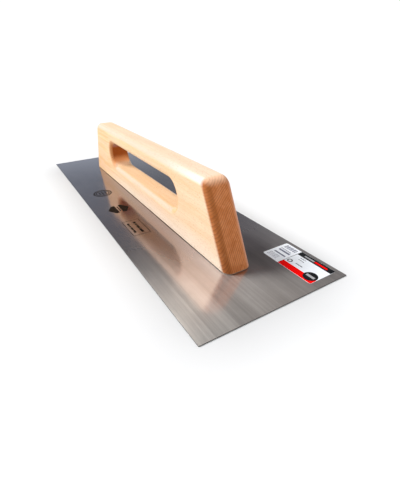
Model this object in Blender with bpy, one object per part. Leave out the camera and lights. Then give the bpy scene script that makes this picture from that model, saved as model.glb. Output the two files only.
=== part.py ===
"""Steel finishing trowel: a thin rectangular blade and a closed beech handle.

The blade lies flat with its working face on z = 0. The handle is one upright plank with
leaning ends and a long hand slot. It sits on a thin elastic bed and is held by four studs
that are welded to the blade's top. Each stud takes a washer and a nut at the bottom of a
counterbore in the slot's floor, and a beech plug closes the counterbore.

Metres, +Z up. +X runs along the blade towards the end that carries the label, +Y runs
across the blade towards the edge beside the label. The origin is the middle of the
blade's working face.
"""
import math

import bmesh
import bpy

# Blade
BLADE_LENGTH = 0.500
BLADE_WIDTH = 0.150
BLADE_THICKNESS = 0.0007

# Touching pieces keep this gap
GAP = 0.0003

# Elastic bed between blade and handle
BED_THICKNESS = 0.0003
BED_SETBACK = 0.0006

# Handle
HANDLE_THICKNESS = 0.028
HANDLE_BASE_LENGTH = 0.393
HANDLE_TOP_Z = 0.077
END_LEAN = math.radians(25.9)
CORNER_RADIUS = 0.013
EDGE_RADIUS = 0.0075

# Hand slot: an obround with rounded lips
SLOT_FLOOR_Z = 0.0256
SLOT_HEIGHT = 0.0331
SLOT_LENGTH = 0.209
SLOT_LIP_RADIUS = 0.006

# Hidden fixings, M5
FIXING_X = (-0.078, -0.028, 0.028, 0.078)
STUD_RADIUS = 0.0025
STUD_FLANGE_RADIUS = 0.0035
STUD_FLANGE_THICKNESS = 0.0008
STUD_HOLE_RADIUS = 0.0029
STUD_TIP_CHAMFER = 0.0005
FLANGE_RECESS_RADIUS = 0.0041
FLANGE_RECESS_DEPTH = 0.0008
COUNTERBORE_RADIUS = 0.0054
COUNTERBORE_DEPTH = 0.011
WASHER_RADIUS = 0.005
WASHER_THICKNESS = 0.001
NUT_ACROSS_FLATS = 0.008
NUT_THICKNESS = 0.004
NUT_BORE_RADIUS = 0.0028
STUD_END_ABOVE_NUT = 0.0008
PLUG_CHAMFER = 0.0003

# Label, in two parts that meet at a tear line
LABEL_LENGTH = 0.060
LABEL_WIDTH = 0.032
LABEL_THICKNESS = 0.00015
LABEL_END_MARGIN = 0.008
LABEL_SIDE_MARGIN = 0.0042
BARCODE_LABEL_LENGTH = 0.0205
LABEL_CORNER_RADIUS = 0.002

ARC_SEGMENTS = 8
SLOT_END_SEGMENTS = 20
HOLE_SEGMENTS = 32

# Heights that follow from the sizes above
BLADE_TOP_Z = BLADE_THICKNESS
BED_Z = BLADE_TOP_Z + GAP
HANDLE_BASE_Z = BED_Z + BED_THICKNESS + GAP
COUNTERBORE_Z = SLOT_FLOOR_Z - COUNTERBORE_DEPTH
WASHER_Z = COUNTERBORE_Z + GAP
NUT_Z = WASHER_Z + WASHER_THICKNESS + GAP
STUD_BASE_Z = BLADE_TOP_Z + GAP
STUD_TIP_Z = NUT_Z + NUT_THICKNESS + STUD_END_ABOVE_NUT
PLUG_Z = STUD_TIP_Z + GAP
PLUG_RADIUS = COUNTERBORE_RADIUS - GAP


# Outlines, as lists of (u, v) points that run anticlockwise

def arc(centre, radius, start, stop, segments):
    """Points on an arc, both ends included. Angles in radians."""
    step = (stop - start) / segments
    angles = [start + i * step for i in range(segments + 1)]
    return [(centre[0] + radius * math.cos(a), centre[1] + radius * math.sin(a)) for a in angles]


def circle(radius, segments=HOLE_SEGMENTS):
    return arc((0, 0), radius, 0, 2 * math.pi, segments)[:-1]


def rectangle(length, width, radii=(0, 0, 0, 0)):
    """A centred rectangle. The radii belong to the corners +u+v, -u+v, -u-v and +u-v."""
    points = []
    corners = ((1, 1), (-1, 1), (-1, -1), (1, -1))
    for quarter, ((side_u, side_v), radius) in enumerate(zip(corners, radii)):
        u = side_u * (length / 2 - radius)
        v = side_v * (width / 2 - radius)
        start = quarter * math.pi / 2
        if radius:
            points += arc((u, v), radius, start, start + math.pi / 2, ARC_SEGMENTS)
        else:
            points.append((u, v))
    return points


def handle_outline(inset):
    """The handle's side view, pulled in by inset everywhere but along its base."""
    top = HANDLE_TOP_Z - HANDLE_BASE_Z
    base_x = HANDLE_BASE_LENGTH / 2
    corner_z = top - CORNER_RADIUS
    corner_x = base_x - (CORNER_RADIUS + corner_z * math.sin(END_LEAN)) / math.cos(END_LEAN)
    radius = CORNER_RADIUS - inset
    right = [(base_x - inset / math.cos(END_LEAN), 0)]
    right += arc((corner_x, corner_z), radius, END_LEAN, math.pi / 2, ARC_SEGMENTS)
    left = [(-x, z) for x, z in reversed(right)]
    return right + left


def slot_outline(grow):
    """The hand slot's side view, let out by grow."""
    radius = SLOT_HEIGHT / 2 + grow
    centre_x = (SLOT_LENGTH - SLOT_HEIGHT) / 2
    centre_z = SLOT_FLOOR_Z - HANDLE_BASE_Z + SLOT_HEIGHT / 2
    right = arc((centre_x, centre_z), radius, -math.pi / 2, math.pi / 2, SLOT_END_SEGMENTS)
    left = arc((-centre_x, centre_z), radius, math.pi / 2, 3 * math.pi / 2, SLOT_END_SEGMENTS)
    return right + left


# Meshes

def finish_mesh(bm, name, smooth):
    """Turn the faces outwards and write the mesh. Edges over 30 degrees stay sharp."""
    bmesh.ops.remove_doubles(bm, verts=bm.verts, dist=1e-7)
    bmesh.ops.recalc_face_normals(bm, faces=bm.faces)
    mesh = bpy.data.meshes.new(name)
    bm.to_mesh(mesh)
    bm.free()
    if smooth:
        mesh.shade_smooth()
        mesh.set_sharp_from_angle(angle=math.radians(30))
    return mesh


def ring_edges(bm, ring):
    """The edges of a closed ring of vertices, made where they don't exist yet."""
    pairs = zip(ring, ring[1:] + ring[:1])
    return [bm.edges.get(pair) or bm.edges.new(pair) for pair in pairs]


def plate_mesh(name, outline, holes, thickness, smooth=True):
    """A flat plate on z = 0 with straight walls and through holes."""
    bm = bmesh.new()
    edges = []
    for loop in [outline] + holes:
        edges += ring_edges(bm, [bm.verts.new((u, v, 0)) for u, v in loop])
    bmesh.ops.triangle_fill(bm, use_beauty=True, use_dissolve=False, edges=edges)
    extruded = bmesh.ops.extrude_face_region(bm, geom=bm.faces[:])
    top = [item for item in extruded["geom"] if isinstance(item, bmesh.types.BMVert)]
    bmesh.ops.translate(bm, verts=top, vec=(0, 0, thickness))
    return finish_mesh(bm, name, smooth)


def turned_mesh(name, profile):
    """A solid turned about Z from (radius, height) points, with flat ends."""
    bm = bmesh.new()
    rings = []
    for radius, z in profile:
        rings.append([bm.verts.new((x, y, z)) for x, y in circle(radius)])
    loft(bm, rings)
    bm.faces.new(rings[0])
    bm.faces.new(rings[-1])
    return finish_mesh(bm, name, smooth=True)


def loft(bm, rings):
    """Walls of four-sided faces between each ring and the next."""
    for lower, upper in zip(rings, rings[1:]):
        for i, vert in enumerate(lower):
            following = (i + 1) % len(lower)
            bm.faces.new((vert, lower[following], upper[following], upper[i]))


def rounded_section(radius):
    """(inset, y) from the handle's one side face to the other, with both edges rounded."""
    half = HANDLE_THICKNESS / 2
    turn = [i * math.pi / 2 / ARC_SEGMENTS for i in range(ARC_SEGMENTS + 1)]
    near = [(radius * (1 - math.sin(t)), -half + radius * (1 - math.cos(t))) for t in turn]
    far = [(inset, -y) for inset, y in reversed(near)]
    return near + far


def handle_rings(bm, outline, radius):
    """Rings of the outline from one side face to the other, in vertical planes."""
    rings = []
    for inset, y in rounded_section(radius):
        rings.append([bm.verts.new((x, y, z)) for x, z in outline(inset)])
    return rings


def handle_mesh():
    bm = bmesh.new()
    outside = handle_rings(bm, handle_outline, EDGE_RADIUS)
    slot = handle_rings(bm, slot_outline, SLOT_LIP_RADIUS)
    loft(bm, outside)
    loft(bm, slot)
    for side in (0, -1):
        edges = ring_edges(bm, outside[side]) + ring_edges(bm, slot[side])
        bmesh.ops.triangle_fill(bm, use_beauty=True, use_dissolve=False, edges=edges)
    return finish_mesh(bm, "handle", smooth=True)


def fixing_cutter_mesh():
    """The flange recess, stud hole and counterbore, measured from the handle's base."""
    recess = FLANGE_RECESS_DEPTH
    floor = COUNTERBORE_Z - HANDLE_BASE_Z
    past_base = -0.002
    past_slot_floor = SLOT_FLOOR_Z - HANDLE_BASE_Z + 0.005
    return turned_mesh("fixing_cutter", [
        (FLANGE_RECESS_RADIUS, past_base),
        (FLANGE_RECESS_RADIUS, recess),
        (STUD_HOLE_RADIUS, recess),
        (STUD_HOLE_RADIUS, floor),
        (COUNTERBORE_RADIUS, floor),
        (COUNTERBORE_RADIUS, past_slot_floor),
    ])


def stud_mesh():
    length = STUD_TIP_Z - STUD_BASE_Z
    return turned_mesh("weld_stud", [
        (STUD_FLANGE_RADIUS, 0),
        (STUD_FLANGE_RADIUS, STUD_FLANGE_THICKNESS),
        (STUD_RADIUS, STUD_FLANGE_THICKNESS),
        (STUD_RADIUS, length - STUD_TIP_CHAMFER),
        (STUD_RADIUS - STUD_TIP_CHAMFER, length),
    ])


def plug_mesh():
    length = SLOT_FLOOR_Z - PLUG_Z
    return turned_mesh("plug", [
        (PLUG_RADIUS - PLUG_CHAMFER, 0),
        (PLUG_RADIUS, PLUG_CHAMFER),
        (PLUG_RADIUS, length),
    ])


def nut_mesh():
    corner_radius = NUT_ACROSS_FLATS / 2 / math.cos(math.pi / 6)
    hexagon = circle(corner_radius, 6)
    return plate_mesh("nut", hexagon, [circle(NUT_BORE_RADIUS)], NUT_THICKNESS)


def washer_mesh():
    return plate_mesh("washer", circle(WASHER_RADIUS), [circle(NUT_BORE_RADIUS)], WASHER_THICKNESS)


def bed_mesh():
    """The bed follows the handle's base, set back a little, with a hole for each stud."""
    length = HANDLE_BASE_LENGTH - 2 * BED_SETBACK
    width = HANDLE_THICKNESS - 2 * BED_SETBACK
    holes = [[(x + u, v) for u, v in circle(FLANGE_RECESS_RADIUS)] for x in FIXING_X]
    return plate_mesh("seal_bed", rectangle(length, width, [EDGE_RADIUS] * 4), holes, BED_THICKNESS)


def label_mesh(name, length, radii):
    return plate_mesh(name, rectangle(length, LABEL_WIDTH, radii), [], LABEL_THICKNESS)


# Scene

def make_material(name, colour, roughness, metallic=0.0):
    material = bpy.data.materials.new(name)
    material.use_nodes = True
    shader = material.node_tree.nodes["Principled BSDF"]
    shader.inputs["Base Color"].default_value = (*colour, 1.0)
    shader.inputs["Roughness"].default_value = roughness
    shader.inputs["Metallic"].default_value = metallic
    material.diffuse_color = (*colour, 1.0)
    return material


def add_object(name, mesh, material, location, parent):
    if not mesh.materials:
        mesh.materials.append(material)
    obj = bpy.data.objects.new(name, mesh)
    obj.location = location
    obj.parent = parent
    bpy.context.scene.collection.objects.link(obj)
    return obj


def add_empty(name, location=(0, 0, 0), parent=None):
    empty = bpy.data.objects.new(name, None)
    empty.location = location
    empty.parent = parent
    bpy.context.scene.collection.objects.link(empty)
    return empty


def cut(target, cutter):
    cutter.hide_render = True
    cutter.display_type = "WIRE"
    modifier = target.modifiers.new(cutter.name, "BOOLEAN")
    modifier.operation = "DIFFERENCE"
    modifier.solver = "EXACT"
    modifier.object = cutter


def add_blade(trowel):
    steel = make_material("steel", (0.46, 0.45, 0.44), 0.28, 1.0)
    mesh = plate_mesh("blade", rectangle(BLADE_LENGTH, BLADE_WIDTH), [], BLADE_THICKNESS, smooth=False)
    add_object("blade", mesh, steel, (0, 0, 0), trowel)


def add_bed(trowel):
    elastic = make_material("bed_elastic", (0.05, 0.045, 0.04), 0.8)
    add_object("seal_bed", bed_mesh(), elastic, (0, 0, BED_Z), trowel)


def add_handle(trowel, beech):
    handle = add_object("handle", handle_mesh(), beech, (0, 0, HANDLE_BASE_Z), trowel)
    cutter_mesh = fixing_cutter_mesh()
    for number, x in enumerate(FIXING_X, start=1):
        cutter = add_object(f"fixing_cutter_{number}", cutter_mesh, beech, (x, 0, 0), handle)
        cut(handle, cutter)


def add_fixings(trowel, beech):
    zinc = make_material("zinc_plate", (0.62, 0.62, 0.60), 0.35, 1.0)
    pieces = (
        ("weld_stud", stud_mesh(), zinc, STUD_BASE_Z),
        ("washer", washer_mesh(), zinc, WASHER_Z),
        ("nut", nut_mesh(), zinc, NUT_Z),
        ("plug", plug_mesh(), beech, PLUG_Z),
    )
    for number, x in enumerate(FIXING_X, start=1):
        fixing = add_empty(f"fixing_{number}", (x, 0, 0), trowel)
        for name, mesh, material, z in pieces:
            add_object(f"{name}_{number}", mesh, material, (0, 0, z), fixing)


def add_labels(trowel):
    """Both label parts share one outline; the tear line between them is a gap."""
    paper = make_material("label_paper", (0.80, 0.80, 0.82), 0.45)
    product_length = LABEL_LENGTH - BARCODE_LABEL_LENGTH - GAP
    y = BLADE_WIDTH / 2 - LABEL_SIDE_MARGIN - LABEL_WIDTH / 2
    z = BLADE_TOP_Z + GAP
    end_x = BLADE_LENGTH / 2 - LABEL_END_MARGIN
    product_x = end_x - product_length / 2
    barcode_x = end_x - LABEL_LENGTH + BARCODE_LABEL_LENGTH / 2
    r = LABEL_CORNER_RADIUS
    barcode = label_mesh("barcode_label", BARCODE_LABEL_LENGTH, (0, r, r, 0))
    product = label_mesh("product_label", product_length, (r, 0, 0, r))
    add_object("barcode_label", barcode, paper, (barcode_x, y, z), trowel)
    add_object("product_label", product, paper, (product_x, y, z), trowel)


def main():
    for obj in list(bpy.data.objects):
        bpy.data.objects.remove(obj, do_unlink=True)
    trowel = add_empty("trowel")
    beech = make_material("beech", (0.85, 0.62, 0.38), 0.5)
    add_blade(trowel)
    add_bed(trowel)
    add_handle(trowel, beech)
    add_fixings(trowel, beech)
    add_labels(trowel)


main()
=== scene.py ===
"""The looks of a steel finishing trowel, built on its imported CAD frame.

The blade, handle, bed, plugs and labels are rebuilt here with finer edges and stand for their CAD nodes.
The studs, washers and nuts keep their CAD solids and only get a material. Outer sizes are read from the
CAD nodes; the rest are the named constants below. Metres, +Z up, +X along the blade towards the
labelled end, -Y the side with the etched marks.
"""
import math

import bmesh
import bpy
from mathutils import Euler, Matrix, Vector


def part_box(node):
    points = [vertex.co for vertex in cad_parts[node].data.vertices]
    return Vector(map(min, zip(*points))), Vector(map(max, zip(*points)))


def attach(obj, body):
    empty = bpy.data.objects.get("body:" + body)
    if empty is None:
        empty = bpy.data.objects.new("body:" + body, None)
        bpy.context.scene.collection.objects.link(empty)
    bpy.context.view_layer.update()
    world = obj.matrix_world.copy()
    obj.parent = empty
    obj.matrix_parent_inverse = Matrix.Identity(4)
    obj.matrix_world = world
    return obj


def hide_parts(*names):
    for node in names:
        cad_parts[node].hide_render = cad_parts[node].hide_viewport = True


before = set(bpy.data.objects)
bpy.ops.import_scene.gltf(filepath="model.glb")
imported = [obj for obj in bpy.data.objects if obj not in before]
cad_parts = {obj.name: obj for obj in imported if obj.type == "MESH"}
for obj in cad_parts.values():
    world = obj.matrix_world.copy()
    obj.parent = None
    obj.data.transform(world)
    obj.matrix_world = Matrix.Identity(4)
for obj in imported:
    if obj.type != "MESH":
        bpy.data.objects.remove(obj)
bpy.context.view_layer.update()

MM = 0.001

# Handle, as in the CAD
END_LEAN = math.radians(25.9)
CORNER_RADIUS = 13 * MM
EDGE_RADIUS = 7.5 * MM
SLOT_FLOOR_Z = 25.6 * MM
SLOT_HEIGHT = 33.1 * MM
SLOT_LENGTH = 209 * MM
SLOT_LIP_RADIUS = 6 * MM
FIXING_X = (-78 * MM, -28 * MM, 28 * MM, 78 * MM)
FLANGE_RECESS = (4.1 * MM, 0.8 * MM)  # radius, depth
STUD_HOLE_RADIUS = 2.9 * MM
COUNTERBORE_RADIUS = 5.4 * MM
PLUG_RADIUS = 5.34 * MM
WASHER_GAP = 0.3 * MM

# Finer detail that only the looks have
CORNER_SEGMENTS = 20
EDGE_SEGMENTS = 12
SLOT_END_SEGMENTS = 36
SUPPORT = 0.4 * MM
BASE_BREAK = 0.25 * MM
BLADE_BREAK = 0.1 * MM
BLADE_CORNER = 0.5 * MM
PLUG_LEAD_IN = (0.34 * MM, 0.4 * MM)  # across, along
PLUG_BREAK = 0.06 * MM
CUTTER_PAST = (2 * MM, 5 * MM)  # below the handle's base, above the slot's floor
INK = 0.02 * MM
BED_BULGE = ((0.0, 0.0), (0.2, 0.14), (0.5, 0.2), (0.8, 0.14), (1.0, 0.0))  # share of height, mm
BED_CORNER_STEP = 0.6 * MM
LABEL_SUNK = 0.01 * MM
LABEL_THICKNESS = 0.12 * MM
LABEL_CORNER = 2 * MM
PRINT_MARGIN = 0.12 * MM
PRINT_CORNER = 1.6 * MM

# Wood grain: the growth rings circle a line that runs behind and below the handle
RING_ACROSS = Vector((0, -0.77, 0.64))
RING_ALONG = Vector((0, 0.64, 0.77))
PITH = (0, 0.105, -0.075)
RING_SPACING = 1.9 * MM

# The floor's painted soft shadow round the blade
HALO = 48 * MM
HALO_CENTRE = (14 * MM, -9 * MM)
HALO_DEPTH = 0.40

# Beech, long grain
SIDE_PALE = ((0.84, 0.585, 0.315), (0.81, 0.59, 0.395))  # at -X, at +X
SIDE_DEEP = ((0.76, 0.455, 0.20), (0.76, 0.51, 0.295))  # at -X, at +X
BLUSH = (0.85, 0.555, 0.38)
# Painted bounce light from the steel: paler low down on the sides, towards +X
BLADE_BOUNCE = (0.80, 0.73, 0.62)
# Painted shade: a deeper orange on the slot's floor
SLOT_FLOOR = (0.76, 0.46, 0.22)
# Painted light that lifts the shade where the slot's floor curves up into its ends
HOLLOW_LIGHT = (1.0, 0.68, 0.41)  # where the slot's floor starts to curve up
# Painted sheen: a paler, cooler tone on the upward faces high on the handle
TOP_SHEEN = (0.80, 0.70, 0.62)
# Painted shade that dims the rounded edges, and a painted highlight on them high up at +X
ROUNDING = ((0.62, 0.48, 0.36), (0.80, 0.72, 0.66))  # in general, high up at +X

# Beech, end grain
CROSS = ((0.65, 0.235, 0.08), (0.54, 0.172, 0.048))  # pale stripes, dark stripes
# Painted shade on the upright corner at -Y
CROSS_CORNER = (0.36, 0.105, 0.018)  # the upright corner at -Y
# Painted highlight on the upright corner at +Y
CROSS_FAR = (0.95, 0.52, 0.36)  # the upright corner at +Y
# Painted light on end grain that faces -X
CROSS_BACK = (0.66, 0.41, 0.235)  # what faces -X
# Painted light on end grain that faces up
RAISED = (1.0, 0.64, 0.42)  # what faces up
# Painted shade and light in the slot's ends: dark overall, paler where they face down, lit orange low down
# and palest next to the floor
SLOT_END = (0.40, 0.085, 0.005)
SLOT_END_TOP = (0.55, 0.30, 0.24)
SLOT_END_LOW = (1.0, 0.42, 0.155)
SLOT_END_LOWEST = (1.0, 0.65, 0.39)

# Beech, both: first on long grain, then on end grain
# Painted light: an orange tone for how the rim of the slot's ends is lit, on long grain then on end grain
SLOT_LIP = ((0.80, 0.39, 0.17), (0.80, 0.36, 0.14))
LATEWOOD = ((0.55, 0.27, 0.11), (0.22, 0.06, 0.018))
FLECK = (0.43, 0.215, 0.095)  # the same on both

# Steel, as tints of its two reflections
CLEAR = ((0.276, 0.222, 0.214), (0.318, 0.255, 0.242))  # outside smears, in smears
# Painted warm bounce light from the handle on the steel behind it
BOUNCE_TINT_BEHIND_HANDLE = (0.90, 0.86, 0.79)  # behind the handle
# The warmer tint at the labelled end is painted light on the haze
VEIL = ((0.70, 0.70, 0.715), (0.78, 0.74, 0.69))  # at -X, at the labelled end
STAIN = (0.12, 0.09, 0.07)


# Outlines, as lists of (u, v) points that run anticlockwise

def arc(centre, radius, start, stop, segments):
    step = (stop - start) / segments
    angles = [start + i * step for i in range(segments + 1)]
    return [(centre[0] + radius * math.cos(a), centre[1] + radius * math.sin(a)) for a in angles]


def circle(radius, segments=64, centre=(0, 0)):
    return arc(centre, radius, 0, 2 * math.pi, segments)[:-1]


def box_outline(low, high, radii=(0, 0, 0, 0)):
    """A rectangle. The radii belong to the corners +u+v, -u+v, -u-v and +u-v."""
    points = []
    corners = ((1, 1), (-1, 1), (-1, -1), (1, -1))
    for quarter, ((side_u, side_v), radius) in enumerate(zip(corners, radii)):
        u = high[0] - radius if side_u > 0 else low[0] + radius
        v = high[1] - radius if side_v > 0 else low[1] + radius
        start = quarter * math.pi / 2
        if radius > 0:
            points += arc((u, v), radius, start, start + math.pi / 2, 8)
        else:
            points.append((u, v))
    return points


def handle_outline(inset):
    """The handle's side view in (x, z), pulled in by inset everywhere but along its base."""
    low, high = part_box("handle")
    corner_z = high.z - CORNER_RADIUS
    rise = corner_z - low.z
    corner_x = high.x - (CORNER_RADIUS + rise * math.sin(END_LEAN)) / math.cos(END_LEAN)
    right = [(high.x - inset / math.cos(END_LEAN), low.z)]
    curve = arc((corner_x, corner_z), CORNER_RADIUS - inset, END_LEAN, math.pi / 2, CORNER_SEGMENTS)
    below = (curve[0][0] + SUPPORT * math.sin(END_LEAN), curve[0][1] - SUPPORT * math.cos(END_LEAN))
    right += [below] + curve + [(curve[-1][0] - SUPPORT, curve[-1][1])]
    return right + [(-x, z) for x, z in reversed(right)]


def slot_outline(grow):
    """The hand slot's side view in (x, z), let out by grow."""
    radius = SLOT_HEIGHT / 2 + grow
    centre_x = (SLOT_LENGTH - SLOT_HEIGHT) / 2
    centre_z = SLOT_FLOOR_Z + SLOT_HEIGHT / 2
    curve = arc((centre_x, centre_z), radius, -math.pi / 2, math.pi / 2, SLOT_END_SEGMENTS)
    floor, ceiling = centre_z - radius, centre_z + radius
    right = [(centre_x - SUPPORT, floor)] + curve + [(centre_x - SUPPORT, ceiling)]
    return right + [(-x, z) for x, z in reversed(right)]


# Meshes

def mesh_object(bm, name, sharp=30):
    """A smooth shaded object whose edges over the given angle stay sharp."""
    bmesh.ops.remove_doubles(bm, verts=bm.verts, dist=1e-7)
    bmesh.ops.recalc_face_normals(bm, faces=bm.faces)
    mesh = bpy.data.meshes.new(name)
    bm.to_mesh(mesh)
    bm.free()
    mesh.shade_smooth()
    mesh.set_sharp_from_angle(angle=math.radians(sharp))
    obj = bpy.data.objects.new(name, mesh)
    bpy.context.scene.collection.objects.link(obj)
    return obj


def loft(bm, rings):
    """Walls of four-sided faces between each closed ring and the next."""
    for lower, upper in zip(rings, rings[1:]):
        for i, vert in enumerate(lower):
            following = (i + 1) % len(lower)
            bm.faces.new((vert, lower[following], upper[following], upper[i]))


def ring_edges(bm, ring):
    pairs = zip(ring, ring[1:] + ring[:1])
    return [bm.edges.get(pair) or bm.edges.new(pair) for pair in pairs]


def add_stack(bm, outlines, material_index=0):
    """A closed solid through (outline, z) pairs from low to high, capped at both ends."""
    before = set(bm.faces)
    rings = [[bm.verts.new((x, y, z)) for x, y in outline] for outline, z in outlines]
    loft(bm, rings)
    bm.faces.new(rings[0])
    bm.faces.new(rings[-1])
    for face in set(bm.faces) - before:
        face.material_index = material_index


def add_print(bm, outline, z, material_index=0):
    """A thin closed patch of ink that stands on a surface at z."""
    add_stack(bm, [(outline, z - INK), (outline, z + INK)], material_index)


def add_frame(bm, outer, inner, z, material_index=0):
    """A thin closed ring of ink between two outlines with the same number of points."""
    before = set(bm.faces)
    rings = []
    for outline, height in ((outer, z - INK), (outer, z + INK), (inner, z + INK), (inner, z - INK)):
        rings.append([bm.verts.new((x, y, height)) for x, y in outline])
    loft(bm, rings + rings[:1])
    for face in set(bm.faces) - before:
        face.material_index = material_index


def rounded_section(half, radius):
    """(inset, y) from one side face to the other. Extra rings just past each rounding keep flats flat."""
    turn = [i * math.pi / 2 / EDGE_SEGMENTS for i in range(EDGE_SEGMENTS + 1)]
    near = [(radius * (1 - math.sin(t)), -half + radius * (1 - math.cos(t))) for t in turn]
    near.insert(0, (radius + SUPPORT, -half))
    near.append((0.0, -half + radius + SUPPORT))
    return near + [(inset, -y) for inset, y in reversed(near)]


def vertical_rings(bm, outline, half, radius):
    rings = []
    for inset, y in rounded_section(half, radius):
        rings.append([bm.verts.new((x, y, z)) for x, z in outline(inset)])
    return rings


def break_base_edge(bm, z):
    """A tiny bevel round the base, where a plane leaves its mark."""
    bm.normal_update()
    edges = []
    for edge in bm.edges:
        on_base = all(abs(vert.co.z - z) < 1e-6 for vert in edge.verts)
        if on_base and edge.calc_face_angle(0) > math.radians(40):
            edges.append(edge)
    bmesh.ops.bevel(bm, geom=edges, offset=BASE_BREAK, segments=2, profile=0.5, affect="EDGES")


def turned(name, profile, x):
    """A solid turned about an upright axis at x, from (radius, z) points."""
    bm = bmesh.new()
    add_stack(bm, [(circle(radius, 64, (x, 0)), z) for radius, z in profile])
    return mesh_object(bm, name)


def cut(target, cutter):
    """Cut one object out of another and keep the result as the target's own mesh."""
    modifier = target.modifiers.new("cut", "BOOLEAN")
    modifier.operation = "DIFFERENCE"
    modifier.solver = "EXACT"
    modifier.object = cutter
    graph = bpy.context.evaluated_depsgraph_get()
    mesh = bpy.data.meshes.new_from_object(target.evaluated_get(graph), depsgraph=graph)
    target.modifiers.clear()
    mesh.set_sharp_from_angle(angle=math.radians(30))
    old = target.data
    target.data = mesh
    mesh.name = old.name
    bpy.data.meshes.remove(old)
    bpy.data.objects.remove(cutter)


# Node graphs

class Graph:
    """Short ways to add and join the nodes of one material."""

    def __init__(self, name):
        self.material = bpy.data.materials.new(name)
        self.material.use_nodes = True
        self.tree = self.material.node_tree
        self.shader = self.tree.nodes["Principled BSDF"]

    def node(self, kind, inputs=None, **settings):
        node = self.tree.nodes.new("ShaderNode" + kind)
        for key, value in settings.items():
            setattr(node, key, value)
        for key, value in (inputs or {}).items():
            self.feed(node.inputs[key], value)
        return node

    def feed(self, socket, value):
        if isinstance(value, bpy.types.NodeSocket):
            self.tree.links.new(value, socket)
        elif value is not None:
            socket.default_value = value

    def set(self, **inputs):
        for key, value in inputs.items():
            self.feed(self.shader.inputs[key.replace("_", " ")], value)

    def place(self):
        return self.node("TexCoord").outputs["Object"]

    def math(self, operation, a, b=None, c=None, clamp=False):
        node = self.node("Math", operation=operation, use_clamp=clamp)
        for socket, value in zip(node.inputs, (a, b, c)):
            self.feed(socket, value)
        return node.outputs[0]

    def vector(self, operation, a, b=None):
        node = self.node("VectorMath", operation=operation)
        self.feed(node.inputs[0], a)
        self.feed(node.inputs[1], b)
        return node.outputs["Value" if operation in ("DOT_PRODUCT", "LENGTH") else "Vector"]

    def scaled(self, vector, scale):
        return self.vector("MULTIPLY", vector, scale)

    def parts(self, vector):
        return self.node("SeparateXYZ", {"Vector": vector}).outputs

    def join(self, x, y, z):
        return self.node("CombineXYZ", {"X": x, "Y": y, "Z": z}).outputs[0]

    def noise(self, vector, scales, detail=2.0, roughness=0.5, distortion=0.0):
        inputs = {"Vector": self.scaled(vector, scales), "Scale": 1.0, "Detail": detail}
        inputs.update({"Roughness": roughness, "Distortion": distortion})
        return self.node("TexNoise", inputs).outputs["Fac"]

    def cells(self, vector, scales):
        return self.node("TexVoronoi", {"Vector": self.scaled(vector, scales), "Scale": 1.0}).outputs

    def chance(self, value):
        return self.node("TexWhiteNoise", {"W": value}, noise_dimensions="1D").outputs["Value"]

    def span(self, value, low, high, to_low=0.0, to_high=1.0, smooth=True):
        kind = "SMOOTHSTEP" if smooth else "LINEAR"
        node = self.node("MapRange", interpolation_type=kind, clamp=True)
        for socket, item in zip(node.inputs, (value, low, high, to_low, to_high)):
            self.feed(socket, item)
        return node.outputs[0]

    def mix(self, factor, a, b, blend="MIX"):
        node = self.node("Mix", data_type="RGBA", blend_type=blend)
        self.feed(node.inputs["Factor"], factor)
        for socket, value in ((node.inputs[6], a), (node.inputs[7], b)):
            self.feed(socket, (*value, 1.0) if isinstance(value, tuple) else value)
        return node.outputs[2]

    def brighten(self, colour, amount):
        """Multiply a colour by a value."""
        return self.vector("MULTIPLY", colour, self.join(amount, amount, amount))

    def blend_shader(self, share, other):
        """Mix another shader into the material's own."""
        output = self.tree.nodes["Material Output"]
        mixer = self.node("MixShader")
        self.feed(mixer.inputs[0], share)
        self.feed(mixer.inputs[1], self.shader.outputs[0])
        self.feed(mixer.inputs[2], other.outputs[0])
        self.feed(output.inputs["Surface"], mixer.outputs[0])

    def bump(self, height, distance, strength=1.0, normal=None):
        inputs = {"Height": height, "Distance": distance, "Strength": strength, "Normal": normal}
        return self.node("Bump", inputs).outputs[0]


# Materials

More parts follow.
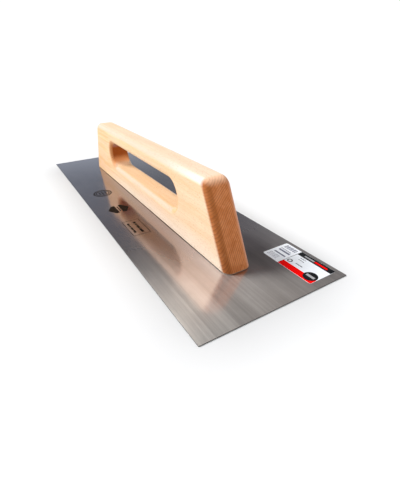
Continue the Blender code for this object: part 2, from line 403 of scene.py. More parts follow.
def steel_material():
    """Steel strip ground along its length: a clear reflection under a haze that spreads across the
    grinding marks, with streaks, bands, smears and specks. A painted sheen makes the haze stronger and
    warmer towards the labelled end, a painted darker reflection band runs along it, and painted warm
    bounce light tints the steel behind the handle."""
    g = Graph("brushed_steel")
    p = g.place()
    x, y, _ = g.parts(p)
    fine = g.noise(p, (6.0, 2400.0, 40.0), 3.0, 0.6)
    medium = g.noise(p, (3.0, 430.0, 10.0), 3.0, 0.55)
    broad = g.noise(p, (1.6, 85.0, 5.0), 2.0, 0.5)
    smear = g.noise(p, (26.0, 45.0, 16.0), 3.0, 0.6)
    streaks = g.math("MULTIPLY_ADD", fine, 0.3, g.math("MULTIPLY", medium, 0.5))
    streaks = g.math("MULTIPLY_ADD", broad, 0.2, streaks)
    # Painted sheen: the haze grows towards the labelled end, and more so towards the front edge there
    painted_sheen = g.span(x, g.span(y, -0.042, -0.056, 0.08, 0.03), 0.245)
    depth = g.math("MULTIPLY_ADD", painted_sheen, 0.01, 0.017)
    share = g.math("MULTIPLY_ADD", painted_sheen, 0.235, 0.05)
    brim = g.math("MULTIPLY", painted_sheen, g.span(y, -0.045, -0.073))
    share = g.math("MULTIPLY_ADD", brim, 0.05, share)
    # Painted darker reflection: a band along the blade with less haze, deepest where the painted sheen is
    # strong
    band = g.math("MULTIPLY", g.span(y, -0.046, -0.036), g.span(y, -0.018, -0.025))
    share = g.math("MULTIPLY_ADD", g.math("MULTIPLY", band, painted_sheen), -0.06, share)
    share = g.math("MULTIPLY", share, g.span(streaks, 0.36, 0.64, 0.95, 1.05))
    share = g.math("MULTIPLY", share, g.span(smear, 0.35, 0.7, 0.95, 1.06))
    tone = g.math("MULTIPLY_ADD", g.span(streaks, 0.35, 0.65, -1.0, 1.0, smooth=False), depth, 1.0)
    colour = g.brighten(g.mix(smear, *CLEAR), tone)
    colour = g.brighten(colour, g.math("DIVIDE", 1.0, g.math("SUBTRACT", 1.0, share)))
    # Painted warm bounce light from the handle, on the steel behind it
    back = g.math("MULTIPLY", g.span(y, 0.0, 0.03), g.span(x, 0.22, 0.18))
    colour = g.mix(back, colour, BOUNCE_TINT_BEHIND_HANDLE, "MULTIPLY")
    stain = g.math("MULTIPLY", speck_mask(g, p), 0.3)
    colour = g.mix(stain, colour, STAIN)
    normal = g.bump(fine, 0.001 * MM, 0.4, g.bump(medium, 0.004 * MM, 0.4))
    clear = g.math("ADD", g.span(streaks, 0.35, 0.65, 0.10, 0.15), g.span(smear, 0.35, 0.75, -0.01, 0.03))
    g.set(Base_Color=colour, Metallic=1.0, Roughness=clear, Normal=normal)
    g.set(Anisotropic=0.4, Tangent=g.join(0.0, 1.0, 0.0))
    # The haze's tint warms with the painted sheen
    veil = g.brighten(g.mix(painted_sheen, *VEIL), tone)
    haze = g.node("BsdfPrincipled", {"Base Color": veil, "Metallic": 1.0, "Anisotropic": 0.9})
    g.feed(haze.inputs["Roughness"], g.span(streaks, 0.35, 0.65, 0.34, 0.38))
    g.feed(haze.inputs["Normal"], normal)
    g.feed(haze.inputs["Tangent"], g.join(0.0, 1.0, 0.0))
    g.blend_shader(share, haze)
    return g.material


def speck_mask(g, p):
    """Sparse tiny stains."""
    cells = g.cells(p, (95.0, 110.0, 60.0))
    rare = g.span(g.parts(cells["Color"])[0], 0.86, 0.9)
    small = g.span(cells["Distance"], 0.05, 0.02)
    return g.math("MULTIPLY", rare, small)


def cut_edge_material():
    """The strip's sheared edges: dull and cross-scored, dark partly as the sheared steel's own colour and
    partly as painted contact shade, and blacker along the two long sides as painted shade.
    """
    g = Graph("sheared_edge")
    p = g.place()
    score = g.noise(p, (900.0, 900.0, 300.0), 3.0, 0.6)
    sideways = g.parts(g.node("NewGeometry").outputs["Normal"])[1]
    long_edge = g.span(g.math("ABSOLUTE", sideways), 0.3, 0.7)
    colour = g.mix(score, (0.075, 0.07, 0.065), (0.135, 0.125, 0.115))
    # Painted contact shade: the two long sides blacker and not metallic
    colour = g.mix(long_edge, colour, (0.05, 0.045, 0.04))
    g.set(Base_Color=colour, Metallic=g.math("SUBTRACT", 1.0, long_edge), Specular_IOR_Level=0.1)
    g.set(Roughness=g.span(score, 0.3, 0.7, 0.45, 0.6), Normal=g.bump(score, 0.02 * MM, 0.5))
    return g.material


def etched_material():
    """Acid etched marks: dull dark brown, a little uneven."""
    g = Graph("etched_dark")
    p = g.place()
    uneven = g.noise(p, (300.0, 700.0, 300.0), 4.0, 0.6)
    colour = g.mix(uneven, (0.006, 0.004, 0.003), (0.022, 0.014, 0.009))
    g.set(Base_Color=colour, Roughness=g.span(uneven, 0.3, 0.7, 0.2, 0.35))
    g.set(Normal=g.bump(uneven, 0.004 * MM, 0.5), Specular_IOR_Level=0.01)
    return g.material


def beech_material():
    """Steamed beech as a solid: growth rings, ray flecks, pores and fibres along X."""
    g = Graph("beech")
    p = g.place()
    x = g.parts(p)[0]
    normal = g.parts(g.node("NewGeometry").outputs["Normal"])
    facing, sideways, up = normal
    grain = g.join(x, g.vector("DOT_PRODUCT", p, RING_ACROSS), g.vector("DOT_PRODUCT", p, RING_ALONG))
    end = end_grain(g, x, facing, sideways)
    inside = g.span(g.math("MULTIPLY", x, facing), 0.0, -0.02)
    # How far a face turns up, shifted inside the slot's ends; it places painted light and sheen on upward
    # faces
    raised = g.span(g.math("MULTIPLY_ADD", inside, 0.32, up), 0.45, 1.10)
    lip = g.math("MULTIPLY", inside, g.span(sideways, -0.2, -0.65))
    stripe = g.noise(p, (7.0, 110.0, 110.0), 3.0, 0.6, 0.4)
    side = long_grain_colour(g, p, normal, inside, raised, lip, stripe)
    cross = cross_grain_colour(g, normal, inside, raised, lip, stripe)
    colour = g.mix(end, side, cross)
    deepest = g.math("SUBTRACT", g.span(raised, 0.0, 1.0, 0.95, 0.35), g.math("MULTIPLY", inside, 0.3))
    ring_depth = g.math("MULTIPLY_ADD", end, g.math("SUBTRACT", deepest, 0.13), 0.13)
    colour = g.mix(g.math("MULTIPLY", growth_rings(g, p), ring_depth), colour, g.mix(end, *LATEWOOD))
    flecks = ray_flecks(g, grain, end)
    colour = g.mix(g.math("MULTIPLY", flecks, 0.75), colour, FLECK)
    fibre = g.noise(grain, (60.0, 1500.0, 2600.0), 3.0, 0.65)
    colour = g.brighten(colour, g.span(fibre, 0.25, 0.75, 0.90, 1.07, smooth=False))
    rough = g.math("MULTIPLY_ADD", fibre, 0.12, g.span(end, 0.0, 1.0, 0.54, 0.58))
    height = g.math("SUBTRACT", g.math("MULTIPLY", fibre, 0.7), g.math("MULTIPLY", flecks, 0.5))
    g.set(Base_Color=colour, Roughness=rough, Normal=g.bump(height, 0.05 * MM, 0.55))
    g.set(Specular_IOR_Level=g.span(end, 0.0, 1.0, 0.22, 0.12), Sheen_Weight=0.08, Sheen_Roughness=0.5)
    return g.material


def long_grain_colour(g, p, normal, inside, raised, lip, stripe):
    """The sides, the top and the slot's floor: pale with darker stripes, with painted light and shade:
    bounce light low on the sides, shade on the slot's floor, light where it curves up, a sheen on top,
    shade and a highlight on the rounded edges, and light on the rim of the slot's ends.
    """
    x, _, z = g.parts(p)
    _, sideways, up = normal
    streak = g.noise(p, (13.0, 250.0, 250.0), 2.0, 0.5, 0.3)
    cloud = g.noise(p, (14.0, 30.0, 30.0), 2.0, 0.5)
    blush = g.noise(p, (10.0, 75.0, 75.0), 3.0, 0.6, 0.5)
    tone = g.math("ADD", g.span(stripe, 0.34, 0.66, 0.0, 0.6), g.span(cloud, 0.35, 0.65, 0.0, 0.2))
    tone = g.math("ADD", tone, g.span(streak, 0.38, 0.6, -0.25, 0.4), clamp=True)
    near = g.span(x, -0.17, 0.17)
    side = g.mix(tone, g.mix(near, *SIDE_PALE), g.mix(near, *SIDE_DEEP))
    side = g.mix(g.span(blush, 0.45, 0.62, 0.0, 0.4), side, BLUSH)
    # Painted bounce light from the steel, low down on the sides towards +X
    blade_bounce = g.math("MULTIPLY", g.span(z, 0.026, 0.004), g.span(x, -0.17, -0.02))
    side = g.mix(g.math("MULTIPLY", blade_bounce, 0.55), side, BLADE_BOUNCE)
    # Painted shade on the slot's floor
    floor = g.math("MULTIPLY", g.span(up, 0.6, 0.9), g.span(z, 0.045, 0.035))
    side = g.mix(g.math("MULTIPLY", floor, 0.4), side, SLOT_FLOOR)
    # Painted light where the slot's floor curves up into its ends
    side = g.mix(g.math("MULTIPLY", inside, g.span(up, 0.90, 0.97)), side, HOLLOW_LIGHT)
    # Painted sheen on the upward faces high on the handle
    top_sheen = g.math("MULTIPLY", raised, g.span(z, 0.05, 0.065))
    side = g.mix(g.math("MULTIPLY", top_sheen, 0.3), side, TOP_SHEEN)
    # Painted highlight on the rounded edges high up at +X, painted shade on them elsewhere
    gleam = g.math("MULTIPLY", g.span(x, 0.06, 0.17), g.span(z, 0.045, 0.06))
    rounding = g.math("MULTIPLY", g.span(up, 0.15, 0.5), g.span(up, 0.99, 0.88))
    rounding = g.math("MULTIPLY", rounding, g.span(g.math("ABSOLUTE", sideways), 0.1, 0.3))
    side = g.mix(g.math("MULTIPLY", rounding, 0.9), side, g.mix(gleam, *ROUNDING))
    # Painted light on the rim of the slot's ends
    return g.mix(g.math("MULTIPLY", lip, 0.8), side, SLOT_LIP[0])


def cross_grain_colour(g, normal, inside, raised, lip, stripe):
    """End grain: reddish brown, with painted shade on its near upright corner and in the slot's ends, and
    painted light where it faces up, towards +Y and towards -X, low in the slot's ends and on their rim.
    """
    facing, sideways, up = normal
    # Painted shade on the near upright corner, where the light falls off
    corner = g.math("MULTIPLY", g.span(sideways, -0.06, -0.4), g.span(sideways, -0.97, -0.6, 0.5, 1.0))
    cross = g.mix(g.span(stripe, 0.35, 0.65), *CROSS)
    cross = g.mix(g.math("MULTIPLY", corner, 0.7), cross, CROSS_CORNER)
    # Painted highlight on the far upright corner
    cross = g.mix(g.span(sideways, 0.15, 0.8, 0.0, 0.6), cross, CROSS_FAR)
    # Painted shade inside the slot's ends
    cross = g.mix(g.math("MULTIPLY", inside, 0.95), cross, SLOT_END)
    # Painted lighter tone where the slot's ends face down
    under = g.math("MULTIPLY", inside, g.span(up, -0.4, -0.75))
    cross = g.mix(g.math("MULTIPLY", under, 0.8), cross, SLOT_END_TOP)
    # Painted light on the rim of the slot's ends
    cross = g.mix(g.math("MULTIPLY", lip, 0.9), cross, SLOT_LIP[1])
    # Painted light on faces that turn up: on end grain, and lit orange low in the slot's ends
    lifted = g.mix(inside, RAISED, SLOT_END_LOW)
    lifted = g.mix(g.math("MULTIPLY", inside, g.span(up, 0.6, 0.97)), lifted, SLOT_END_LOWEST)
    cross = g.mix(raised, cross, lifted)
    # Painted light where the end grain faces -X
    return g.mix(g.span(facing, 0.0, -0.3, 0.0, 0.85), cross, CROSS_BACK)


def end_grain(g, x, facing, sideways):
    """How far a face cuts across the fibres. The slot's rim has to turn further than the ends."""
    start = g.span(g.math("ABSOLUTE", x), 0.12, 0.15, 0.35, 0.04)
    start = g.math("MULTIPLY", start, g.span(g.math("ABSOLUTE", sideways), 0.02, 0.25, 0.1, 1.0))
    across = g.math("SUBTRACT", g.math("ABSOLUTE", facing), start)
    return g.math("MULTIPLY", across, 4.0, clamp=True)


def growth_rings(g, p):
    """Latewood: rises slowly through each ring, then stops short. Rings differ in strength."""
    tilt = g.node("Mapping", {"Vector": p, "Rotation": (0, 0.012, -0.02)}).outputs[0]
    radial = g.scaled(g.vector("SUBTRACT", tilt, PITH), (0.0, 1.0, 1.0))
    wander = g.noise(p, (5.0, 30.0, 30.0), 2.0, 0.5)
    ripple = g.noise(p, (22.0, 160.0, 160.0), 2.0, 0.5)
    distance = g.math("MULTIPLY_ADD", wander, 5 * MM, g.vector("LENGTH", radial))
    distance = g.math("MULTIPLY_ADD", ripple, 0.7 * MM, distance)
    count = g.math("DIVIDE", distance, RING_SPACING)
    part = g.math("FRACT", count)
    rise = g.math("POWER", part, 2.2)
    stop = g.span(part, 1.0, 0.9)
    strength = g.span(g.chance(g.math("FLOOR", count)), 0.0, 1.0, 0.45, 1.0, smooth=False)
    return g.math("MULTIPLY", g.math("MULTIPLY", rise, stop), strength)


def ray_flecks(g, grain, end):
    """Short brown dashes along the grain, finer and fainter on end grain."""
    cells = g.cells(grain, (340.0, 120.0, 1400.0))
    chosen = g.span(g.parts(cells["Color"])[0], 0.4, 0.75)
    body = g.span(cells["Distance"], 0.42, 0.12)
    mask = g.math("MULTIPLY", chosen, body)
    return g.math("MULTIPLY", mask, g.span(end, 0.0, 1.0, 0.8, 0.45))


def elastic_material():
    """The brown elastic bed under the handle."""
    g = Graph("bed_elastic")
    p = g.place()
    grit = g.noise(p, (900.0, 900.0, 900.0), 3.0, 0.6)
    colour = g.mix(grit, (0.36, 0.24, 0.16), (0.48, 0.33, 0.22))
    g.set(Base_Color=colour, Roughness=g.span(grit, 0.3, 0.7, 0.6, 0.8))
    g.set(Normal=g.bump(grit, 0.03 * MM, 0.6))
    return g.material


def zinc_material():
    """Zinc plated steel with a faint spangle."""
    g = Graph("zinc_plate")
    p = g.place()
    cells = g.parts(g.cells(p, (700.0, 700.0, 700.0))["Color"])[0]
    grit = g.noise(p, (2500.0, 2500.0, 2500.0), 3.0, 0.6)
    colour = g.mix(cells, (0.56, 0.57, 0.58), (0.68, 0.68, 0.66))
    g.set(Base_Color=colour, Metallic=1.0, Roughness=g.span(grit, 0.3, 0.7, 0.26, 0.4))
    g.set(Normal=g.bump(grit, 0.01 * MM, 0.5))
    return g.material


def print_material(name, colour, roughness=0.38, shade=0.85, gloss=0.3):
    """Coated label stock or ink: a faint mottle and paper tooth."""
    g = Graph(name)
    p = g.place()
    mottle = g.noise(p, (260.0, 260.0, 260.0), 3.0, 0.6)
    tooth = g.noise(p, (3500.0, 3500.0, 3500.0), 2.0, 0.6)
    darker = tuple(channel * shade for channel in colour)
    g.set(Base_Color=g.mix(g.span(mottle, 0.35, 0.75), colour, darker))
    g.set(Roughness=g.span(tooth, 0.3, 0.7, roughness - 0.05, roughness + 0.06))
    g.set(Normal=g.bump(tooth, 0.006 * MM, 0.5), Specular_IOR_Level=gloss)
    return g.material


def floor_material():
    """A matt pale studio floor with a painted soft shadow close round the blade, weakest at its +X and +Y
    sides.
    """
    g = Graph("studio_floor")
    p = g.place()
    mottle = g.noise(p, (3.0, 3.0, 3.0), 2.0, 0.5)
    tooth = g.noise(p, (400.0, 400.0, 400.0), 2.0, 0.5)
    x, y, _ = g.parts(p)
    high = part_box("blade")[1]
    from_x = g.math("ABSOLUTE", g.math("SUBTRACT", x, HALO_CENTRE[0]))
    from_y = g.math("ABSOLUTE", g.math("SUBTRACT", y, HALO_CENTRE[1]))
    near_x = g.span(from_x, high.x + HALO, high.x - HALO)
    near_y = g.span(from_y, high.y + HALO, high.y - HALO)
    colour = g.mix(mottle, (0.745, 0.745, 0.745), (0.755, 0.755, 0.755))
    # Painted shadow round the blade, weaker towards its +X and +Y sides
    open_side = g.math("MULTIPLY", g.span(x, 0.15, 0.25, 1.0, 0.78), g.span(y, 0.02, 0.08, 1.0, 0.5))
    shade = g.math("MULTIPLY", g.math("MULTIPLY", near_x, near_y), HALO_DEPTH)
    shade = g.math("MULTIPLY", shade, open_side)
    colour = g.mix(shade, colour, (0.0, 0.0, 0.0))
    g.set(Base_Color=colour, Roughness=0.9, Specular_IOR_Level=0.1)
    g.set(Normal=g.bump(tooth, 0.05 * MM, 0.2))
    return g.material


# Pieces

def finish_piece(obj, nodes=()):
    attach(obj, "root")
    for node in nodes:
        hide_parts(node)
    return obj


def make_blade(steel, edge):
    """The plate with its edges and corners just broken."""
    low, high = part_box("blade")
    bm = bmesh.new()
    outlines = []
    for inset, z in broken_edge(low.z, high.z, BLADE_BREAK):
        corner_low = (low.x + inset, low.y + inset)
        corner_high = (high.x - inset, high.y - inset)
        radius = max(BLADE_CORNER - inset, 0.01 * MM)
        outlines.append((box_outline(corner_low, corner_high, (radius,) * 4), z))
    add_stack(bm, outlines)
    bm.normal_update()
    for face in bm.faces:
        face.material_index = int(abs(face.normal.z) < 0.98)
    blade = mesh_object(bm, "blade_plate")
    blade.data.materials.append(steel)
    blade.data.materials.append(edge)
    return finish_piece(blade, ["blade"])


def broken_edge(bottom, top, size):
    """(inset, z) for a wall with both edges rounded, and flat faces that stay flat."""
    turn = [0, math.pi / 8, math.pi / 4, 3 * math.pi / 8, math.pi / 2]
    lower = [(size * (1 - math.sin(t)), bottom + size * (1 - math.cos(t))) for t in turn]
    lower.insert(0, (size * 1.5, bottom))
    return lower + [(inset, bottom + top - z) for inset, z in reversed(lower)]


def make_handle(beech):
    low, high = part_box("handle")
    bm = bmesh.new()
    outside = vertical_rings(bm, handle_outline, high.y, EDGE_RADIUS)
    slot = vertical_rings(bm, slot_outline, high.y, SLOT_LIP_RADIUS)
    loft(bm, outside)
    loft(bm, slot)
    for side in (0, -1):
        edges = ring_edges(bm, outside[side]) + ring_edges(bm, slot[side])
        bmesh.ops.triangle_fill(bm, use_beauty=True, use_dissolve=False, edges=edges)
    break_base_edge(bm, low.z)
    handle = mesh_object(bm, "beech_handle")
    for number, x in enumerate(FIXING_X, start=1):
        cut(handle, fixing_cutter(number, x))
    handle.data.materials.append(beech)
    return finish_piece(handle, ["handle"])


def fixing_cutter(number, x):
    """The recess for the stud's flange, the stud's hole and the counterbore above it."""
    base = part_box("handle")[0].z
    below, above = base - CUTTER_PAST[0], SLOT_FLOOR_Z + CUTTER_PAST[1]
    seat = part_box(f"washer_{number}")[0].z - WASHER_GAP
    flange, depth = FLANGE_RECESS
    return turned(f"cutter_{number}", [
        (flange, below),
        (flange, base + depth),
        (STUD_HOLE_RADIUS, base + depth),
        (STUD_HOLE_RADIUS, seat),
        (COUNTERBORE_RADIUS, seat),
        (COUNTERBORE_RADIUS, above),
    ], x)


def make_plugs(beech):
    for number, x in enumerate(FIXING_X, start=1):
        low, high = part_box(f"plug_{number}")
        across, along = PLUG_LEAD_IN
        plug = turned(f"beech_plug_{number}", [
            (PLUG_RADIUS - across, low.z),
            (PLUG_RADIUS, low.z + along),
            (PLUG_RADIUS, high.z - PLUG_BREAK),
            (PLUG_RADIUS - PLUG_BREAK, high.z),
        ], x)
        plug.data.materials.append(beech)
        finish_piece(plug, [f"plug_{number}"])


def make_bed(elastic):
    """The elastic bed, squeezed until it fills the joint and swells a little at its edge."""
    low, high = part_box("seal_bed")
    floor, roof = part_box("blade")[1].z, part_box("handle")[0].z
    bm = bmesh.new()
    outlines = []
    for share, swell in BED_BULGE:
        corner_low = (low.x - swell * MM, low.y - swell * MM)
        corner_high = (high.x + swell * MM, high.y + swell * MM)
        radius = EDGE_RADIUS - BED_CORNER_STEP + swell * MM
        outline = box_outline(corner_low, corner_high, (radius,) * 4)
        outlines.append((outline, floor + share * (roof - floor)))
    add_stack(bm, outlines)
    bed = mesh_object(bm, "elastic_bed", 60)
    bed.data.materials.append(elastic)
    return finish_piece(bed, ["seal_bed"])


def paint_fixings(zinc):
    for number in range(1, len(FIXING_X) + 1):
        for kind in ("weld_stud", "washer", "nut"):
            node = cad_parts[f"{kind}_{number}"]
            node.data.materials.clear()
            node.data.materials.append(zinc)


# Labels: plain blocks, bars and dashes stand where a maker's print would be

def make_labels(materials):
    left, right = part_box("barcode_label")[0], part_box("product_label")[1]
    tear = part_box("product_label")[0].x
    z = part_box("blade")[1].z
    barcode = label_base("barcode_sheet", left, (tear, right.y), (0, 1, 1, 0), materials["grey_sheet"])
    finish_piece(barcode, ["barcode_label"])
    product = label_base("product_sheet", (tear, left.y), right, (1, 0, 0, 1), materials["sheet"])
    finish_piece(product, ["product_label"])
    top = z + LABEL_THICKNESS
    print_barcode(left, tear, right.y, top, materials)
    print_product(tear, left.y, right, top, materials)


def label_base(name, low, high, rounded, material):
    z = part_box("blade")[1].z
    radii = [LABEL_CORNER * corner for corner in rounded]
    bm = bmesh.new()
    outline = box_outline(low, high, radii)
    add_stack(bm, [(outline, z - LABEL_SUNK), (outline, z + LABEL_THICKNESS)])
    base = mesh_object(bm, name)
    base.data.materials.append(material)
    return base


def printed_object(name, layers, z):
    """Thin patches on z. Each layer is a material with its outlines; later layers lie on top."""
    bm = bmesh.new()
    for index, (material, outlines) in enumerate(layers):
        for outline in outlines:
            add_print(bm, outline, z + index * 0.6 * INK, index)
    obj = mesh_object(bm, name)
    for material, _ in layers:
        obj.data.materials.append(material)
    return finish_piece(obj)


def bars_along(x, widths, gaps, low, high):
    """Upright bars in a row along X, between two heights."""
    outlines = []
    for width, gap in zip(widths, gaps):
        outlines.append(box_outline((x, low), (x + width, high)))
        x += width + gap
    return outlines


def dashes(x, y, lengths, height, gap=0.5 * MM):
    """A row of short plain dashes."""
    outlines = []
    for length in lengths:
        outlines.append(box_outline((x, y), (x + length, y + height)))
        x += length + gap
    return outlines


def print_barcode(left, tear, back, z, materials):
    """Plain bars near the back edge, and rows of dashes in front of them."""
    low = left[1]
    widths = [0.35 * MM, 0.7 * MM, 0.35 * MM, 0.35 * MM, 1.0 * MM, 0.35 * MM, 0.7 * MM] * 2
    gaps = [0.45 * MM, 0.35 * MM, 0.7 * MM, 0.35 * MM, 0.45 * MM, 0.7 * MM, 0.35 * MM] * 2
    start = left[0] + 3.6 * MM
    upright = bars_along(start, widths, gaps, back - 7.6 * MM, back - 2.2 * MM)
    rows = dashes(start, low + 20.6 * MM, [1.6 * MM] * 6, 1.1 * MM, 0.55 * MM)
    rows += [box_outline((start, low + 17.0 * MM), (tear - 3 * MM, low + 19.2 * MM))]
    rows += [box_outline((start, low + 11.4 * MM), (tear - 3 * MM, low + 13.1 * MM))]
    for row in range(4):
        rows += dashes(start - 0.8 * MM, low + (3.2 + 1.7 * row) * MM, [2.6 * MM] * 4, 0.45 * MM, 0.5 * MM)
    layers = [(materials["bar"], upright + rows)]
    printed_object("barcode_print", layers, z)


def print_product(tear, low, high, z, materials):
    """A black band at the back, a red band in front, small grey dashes and a plain round seal."""
    start, end, top = tear + PRINT_MARGIN, high.x - PRINT_MARGIN, high.y - PRINT_MARGIN
    front = [box_outline((start, low + PRINT_MARGIN), (end, low + 7.7 * MM), (0, 0, 0, PRINT_CORNER))]
    back = [box_outline((start, high.y - 6.6 * MM), (end, top), (PRINT_CORNER, 0, 0, 0))]
    light = [box_outline((tear + 6.6 * MM, high.y - 4.4 * MM), (tear + 18 * MM, high.y - 2.6 * MM))]
    red = [box_outline((tear + 18.8 * MM, high.y - 4.6 * MM), (tear + 33 * MM, high.y - 2.5 * MM))]
    grey = dashes(tear + 6.6 * MM, low + 22.4 * MM, [1.8 * MM, 2.6 * MM, 1.2 * MM], 0.8 * MM)
    grey += dashes(tear + 7.2 * MM, low + 19.2 * MM, [1.4 * MM, 2.2 * MM, 1.8 * MM], 0.8 * MM)
    grey += dashes(tear + 10.6 * MM, low + 12.2 * MM, [2.4 * MM, 1.6 * MM, 2.8 * MM], 1.0 * MM)
    seal = circle(6.6 * MM, 48, (tear + 32.0 * MM, low + 8.2 * MM))
    seal_bar = box_outline((tear + 27.6 * MM, low + 6.9 * MM), (tear + 36.4 * MM, low + 9.7 * MM))
    layers = [
        (materials["red"], front),
        (materials["black"], back + [seal]),
        (materials["light"], light + [seal_bar]),
        (materials["red"], red),
        (materials["grey"], grey),
    ]
    printed_object("product_print", layers, z)
    print_tear_line(tear, low, high.y, z, materials["black"])
    print_ring("ring_print", (tear + 4.0 * MM, low + 11.7 * MM), 2.6 * MM, z, materials["black"])


def print_tear_line(x, low, high, z, material):
    """The thin dark line where the two halves of the label part."""
    line = box_outline((x - 0.2 * MM, low + PRINT_MARGIN), (x + 0.2 * MM, high - PRINT_MARGIN))
    printed_object("tear_line", [(material, [line])], z)


def print_ring(name, centre, radius, z, material):
    bm = bmesh.new()
    add_frame(bm, circle(radius, 40, centre), circle(radius * 0.6, 40, centre), z)
    ring = mesh_object(bm, name)
    ring.data.materials.append(material)
    return finish_piece(ring)


# Etched marks: a ring, a hexagon and a framed pair of dashed lines, all plain shapes

def etched_object(name, bm, material):
    mark = mesh_object(bm, name)
    mark.data.materials.append(material)
    return finish_piece(mark)


def make_marks(etched):
    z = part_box("blade")[1].z
    make_ring_mark(etched, z)
    make_hexagon_mark(etched, z)
    make_framed_mark(etched, z)


def make_ring_mark(etched, z):
    """Two thin rings round three rows of short dashes."""
    bm = bmesh.new()
    centre = (-61 * MM, -46.5 * MM)
    add_frame(bm, circle(12.6 * MM, 64, centre), circle(10.8 * MM, 64, centre), z)
    add_frame(bm, circle(9.5 * MM, 64, centre), circle(8.0 * MM, 64, centre), z)
    for row, count in ((-4.0, 3), (0.0, 4), (4.0, 3)):
        start = centre[0] - (count * 3.4 - 0.9) / 2 * MM
        for outline in dashes(start, centre[1] + (row - 1.3) * MM, [2.5 * MM] * count, 2.6 * MM, 0.9 * MM):
            add_print(bm, outline, z)
    etched_object("etched_ring", bm, etched)


def make_hexagon_mark(etched, z):
    """A solid hexagon that a plain bright band crosses, with three dashes on the band."""
    bm = bmesh.new()
    centre, radius, band = (3.5 * MM, -45.2 * MM), 13.4 * MM, 2.2 * MM
    side = radius * math.cos(math.pi / 6)
    for way in (1, -1):
        half = [(side, band), (side, radius / 2), (0.0, radius), (-side, radius / 2), (-side, band)]
        add_print(bm, [(centre[0] + u, centre[1] + way * v) for u, v in half], z)
    for outline in dashes(centre[0] - 7.4 * MM, centre[1] - 0.9 * MM, [4.2 * MM] * 3, 1.8 * MM, 1.1 * MM):
        add_print(bm, outline, z)
    etched_object("etched_hexagon", bm, etched)


def make_framed_mark(etched, z):
    """A fine frame round two rows of dashes."""
    bm = bmesh.new()
    low, high = (43.5 * MM, -55.5 * MM), (82.3 * MM, -35.2 * MM)
    line = 0.6 * MM
    inner_low, inner_high = (low[0] + line, low[1] + line), (high[0] - line, high[1] - line)
    add_frame(bm, box_outline(low, high), box_outline(inner_low, inner_high), z)
    upper = dashes(49.0 * MM, -44.3 * MM, [4.6 * MM, 3.0 * MM, 7.6 * MM, 9.4 * MM], 2.8 * MM, 1.4 * MM)
    lower = dashes(50.2 * MM, -51.9 * MM, [5.4 * MM, 2.6 * MM, 6.6 * MM, 6.4 * MM], 2.6 * MM, 1.4 * MM)
    for outline in upper + lower:
        add_print(bm, outline, z)
    etched_object("etched_frame", bm, etched)


# Stage

def make_floor():
    """A big round floor, a hair below the blade."""
    bm = bmesh.new()
    rings = []
    for radius in (0.5, 1.0, 2.0, 4.0, 8.0, 16.0, 32.0):
        rings.append([bm.verts.new((x, y, -0.05 * MM)) for x, y in circle(radius, 96)])
    loft(bm, rings)
    bm.faces.new(rings[0])
    floor = mesh_object(bm, "studio_floor")
    floor.data.materials.append(floor_material())


# How high a direction points, from 0 level to 1 overhead, and the colour of the light from there
WORLD_STOPS = (
    (0.00, (1.06, 1.06, 1.06)),
    (0.11, (1.02, 1.02, 1.02)),
    (0.17, (0.50, 0.55, 0.64)),
    (0.24, (0.59, 0.70, 0.86)),
    (0.30, (0.29, 0.35, 0.44)),
    (0.40, (0.28, 0.33, 0.41)),
    (0.48, (0.21, 0.225, 0.27)),
    (0.54, (0.05, 0.05, 0.06)),
    (0.62, (0.26, 0.25, 0.24)),
    (0.74, (0.06, 0.06, 0.06)),
    (0.86, (0.20, 0.20, 0.20)),
)


def make_world():
    """Rings of studio light, pale low down and dimmer higher up, behind a plain white backdrop."""
    world = bpy.data.worlds.new("studio")
    world.use_nodes = True
    bpy.context.scene.world = world
    tree = world.node_tree
    place = tree.nodes.new("ShaderNodeTexCoord")
    split = tree.nodes.new("ShaderNodeSeparateXYZ")
    ramp = tree.nodes.new("ShaderNodeValToRGB")
    elements = ramp.color_ramp.elements
    while len(elements) < len(WORLD_STOPS):
        elements.new(1.0)
    for element, (position, colour) in zip(elements, WORLD_STOPS):
        element.position = position
        element.color = (*colour, 1.0)
    tree.links.new(place.outputs["Generated"], split.inputs[0])
    tree.links.new(split.outputs["Z"], ramp.inputs[0])
    seen = tree.nodes.new("ShaderNodeLightPath").outputs["Is Camera Ray"]
    backdrop = tree.nodes.new("ShaderNodeMix")
    backdrop.data_type = "RGBA"
    backdrop.inputs["B"].default_value = (1.06, 1.06, 1.06, 1.0)
    tree.links.new(seen, backdrop.inputs["Factor"])
    tree.links.new(ramp.outputs[0], backdrop.inputs["A"])
    tree.links.new(backdrop.outputs["Result"], tree.nodes["Background"].inputs["Color"])


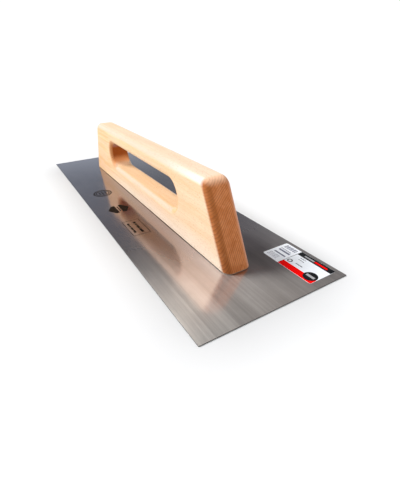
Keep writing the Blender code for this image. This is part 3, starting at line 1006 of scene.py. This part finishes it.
def add_sun(name, towards, strength, spread, colour):
    """A broad even light from a far source. towards points from the trowel to the light."""
    light = bpy.data.lights.new(name, "SUN")
    light.energy = strength
    light.angle = math.radians(spread)
    light.color = colour
    obj = bpy.data.objects.new(name, light)
    obj.rotation_euler = Vector(towards).to_track_quat("Z", "Y").to_euler()
    bpy.context.scene.collection.objects.link(obj)


def make_lights():
    add_sun("key", (-0.63, -0.47, 0.62), 4.0, 24, (1.0, 1.0, 1.0))
    add_sun("back", (0.45, 0.47, 0.76), 0.85, 50, (1.0, 1.0, 1.0))
    add_sun("top", (0.0, 0.0, 1.0), 0.36, 50, (1.0, 1.0, 1.0))
    add_sun("left", (-0.66, -0.66, 0.34), 0.55, 50, (1.0, 0.95, 0.90))
    add_sun("right", (0.66, -0.66, 0.34), 0.36, 50, (1.0, 0.98, 0.96))


def make_camera():
    camera = bpy.data.cameras.new("camera")
    camera.lens = 23.264
    camera.sensor_width = 36.0
    camera.clip_start = 0.01
    camera.clip_end = 200.0
    obj = bpy.data.objects.new("camera", camera)
    obj.location = (0.380811, -0.149027, 0.168483)
    obj.rotation_euler = Euler([math.radians(a) for a in (58.4608, 1.1358, 58.8400)])
    bpy.context.scene.collection.objects.link(obj)
    bpy.context.scene.camera = obj


def label_materials():
    return {
        "sheet": print_material("label_white", (0.88, 0.91, 0.95), 0.36, 0.97),
        "grey_sheet": print_material("label_grey", (0.93, 0.95, 0.99), 0.36, 0.97),
        "black": print_material("ink_black", (0.008, 0.008, 0.009), 0.32, gloss=0.15),
        "red": print_material("ink_red", (0.97, 0.002, 0.001), 0.4, 0.96, gloss=0.03),
        "light": print_material("ink_light", (0.42, 0.42, 0.43), 0.36, 0.95),
        "grey": print_material("ink_grey", (0.05, 0.055, 0.065), 0.36),
        "bar": print_material("ink_bar", (0.15, 0.16, 0.23), 0.36),
    }


def main():
    beech = beech_material()
    make_blade(steel_material(), cut_edge_material())
    make_bed(elastic_material())
    make_handle(beech)
    make_plugs(beech)
    paint_fixings(zinc_material())
    make_labels(label_materials())
    make_marks(etched_material())
    make_floor()
    make_world()
    make_lights()
    make_camera()
    bpy.context.scene.view_settings.view_transform = "Standard"


main()
